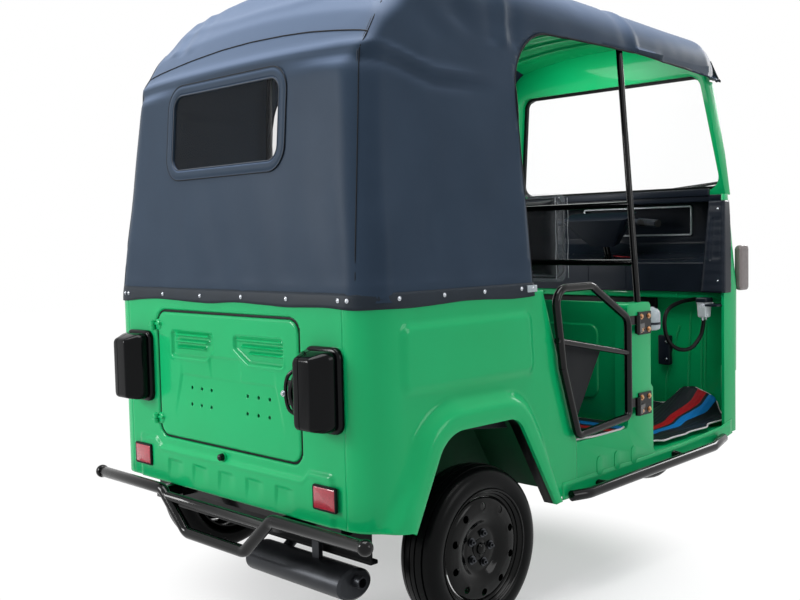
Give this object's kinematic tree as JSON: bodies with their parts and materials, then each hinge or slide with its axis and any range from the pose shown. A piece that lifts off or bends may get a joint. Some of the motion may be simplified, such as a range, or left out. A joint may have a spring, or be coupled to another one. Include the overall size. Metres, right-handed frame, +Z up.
{
  "type": "auto rickshaw",
  "caption": "Three-wheeled passenger taxi with a green steel body, a dark fabric canopy, tube doors, a driver's cab with handlebar steering and a rear hatch.",
  "frame": {"origin": "on the road under the middle of the whole vehicle", "axes": "+X to the vehicle's right, +Y forwards, +Z up"},
  "size_m": [1.4082, 2.664, 1.9898],
  "materials": {
    "green_paint": "gloss, sun-worn",
    "black_paint": "gloss",
    "black_steel": "satin, dusty",
    "canopy_vinyl": "coated cloth, soft sheen",
    "clear_sheet": "clear sheet, slightly cloudy",
    "clear_glass": "polished",
    "rubber_trim": "matt",
    "black_plastic": "satin",
    "seat_vinyl": "vinyl, soft sheen",
    "mat_rubber": "ribbed, matt",
    "red_reflector": "moulded, glossy",
    "lamp_plastic": "moulded, glossy",
    "exhaust_steel": "heat-stained",
    "engine_alloy": "cast, dull",
    "white_plastic": "translucent",
    "tyre": "matt",
    "wheel_steel": "satin, dusty"
  },
  "bodies": {
    "chassis": {"chassis_frame": "black_steel", "cabin_floor": "green_paint", "rear_panel": "green_paint", "quarter_panel_right": "green_paint", "quarter_panel_left": "green_paint", "side_panel_right": "green_paint", "side_panel_left": "green_paint", "wheelhouses": "green_paint", "partition": "green_paint", "front_cowl": "green_paint", "windscreen_frame": "green_paint", "windscreen_seal": "rubber_trim", "windscreen_glass": "clear_glass", "wiper": "black_paint", "dashboard": "black_plastic", "roof_panel": "green_paint", "canopy": "canopy_vinyl", "rear_window": "clear_sheet", "canopy_rails": "black_paint", "seat_bases": "black_steel", "passenger_seat": "seat_vinyl", "driver_seat": "seat_vinyl", "floor_mats": "mat_rubber", "door_hinges": "black_paint", "tail_lamps": "black_plastic", "reflectors": "red_reflector", "front_lamps": "lamp_plastic", "rear_bumper": "black_paint", "side_steps": "black_paint", "muffler": "exhaust_steel", "engine": "engine_alloy", "rear_suspension": "black_steel", "brake_pot": "white_plastic"},
    "steering": {"front_fork": "black_steel", "handlebar": "black_plastic", "front_mudguard": "green_paint"},
    "front_wheel": {"front_tyre": "tyre", "front_rim": "wheel_steel"},
    "rear_wheel_right": {"rear_tyre_right": "tyre", "rear_rim_right": "wheel_steel"},
    "rear_wheel_left": {"rear_tyre_left": "tyre", "rear_rim_left": "wheel_steel"},
    "rear_hatch": {"hatch_panel": "green_paint", "hatch_handle": "black_paint"},
    "door_right": {"door_right": "black_paint"},
    "door_left": {"door_left": "black_paint"}
  },
  "joints": [
    {"name": "steer", "type": "hinge", "parent": "chassis", "child": "steering", "pos_m": [0, 1.04709, 0.23349], "axis": [0, -0.3256, 0.9455], "range_deg": [-35, 35]},
    {"name": "front_wheel_spin", "type": "hinge", "parent": "steering", "child": "front_wheel", "pos_m": [0, 1.066, 0.24], "axis": [1, 0, 0], "continuous": true},
    {"name": "rear_wheel_right_spin", "type": "hinge", "parent": "chassis", "child": "rear_wheel_right", "pos_m": [0.611, -0.841, 0.24], "axis": [1, 0, 0], "continuous": true},
    {"name": "rear_wheel_left_spin", "type": "hinge", "parent": "chassis", "child": "rear_wheel_left", "pos_m": [-0.611, -0.841, 0.24], "axis": [1, 0, 0], "continuous": true},
    {"name": "hatch_swing", "type": "hinge", "parent": "chassis", "child": "rear_hatch", "pos_m": [-0.379, -1.256, 0.7], "axis": [0, 0, -1], "range_deg": [0, 90]},
    {"name": "door_right_swing", "type": "hinge", "parent": "chassis", "child": "door_right", "pos_m": [0.65994, -0.032, 0.7], "axis": [0, 0, 1], "range_deg": [0, 95]},
    {"name": "door_left_swing", "type": "hinge", "parent": "chassis", "child": "door_left", "pos_m": [-0.65994, -0.032, 0.7], "axis": [0, 0, -1], "range_deg": [0, 95]}
  ]
}
